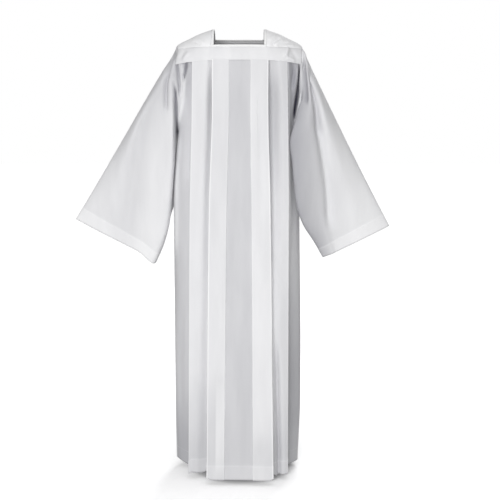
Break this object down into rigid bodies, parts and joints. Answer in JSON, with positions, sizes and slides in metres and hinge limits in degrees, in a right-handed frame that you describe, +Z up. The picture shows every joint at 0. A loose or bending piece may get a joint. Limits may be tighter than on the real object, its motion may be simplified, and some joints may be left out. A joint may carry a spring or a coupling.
{
  "type": "alb",
  "caption": "Full-length white alb with a square neck and yoke, pressed pleats front and back, and wide bell sleeves, filled out as worn.",
  "frame": {"origin": "middle of the neck opening, level with the highest points of the shoulders, where the wearer carries it", "axes": "+Z up along its length, the front with the pleats faces -Y, and +X is to the right of someone who looks at the front"},
  "size_m": [1.0688, 0.3623, 1.4774],
  "materials": {
    "alb_cloth": "matte plain weave",
    "neck_tape": "matte woven tape"
  },
  "bodies": {
    "root": {"front_panel": "alb_cloth", "back_panel": "alb_cloth", "front_yoke": "alb_cloth", "back_yoke": "alb_cloth", "shoulder_yoke_left": "alb_cloth", "shoulder_yoke_right": "alb_cloth", "sleeve_left": "alb_cloth", "sleeve_right": "alb_cloth", "neck_binding": "neck_tape"}
  },
  "joints": []
}
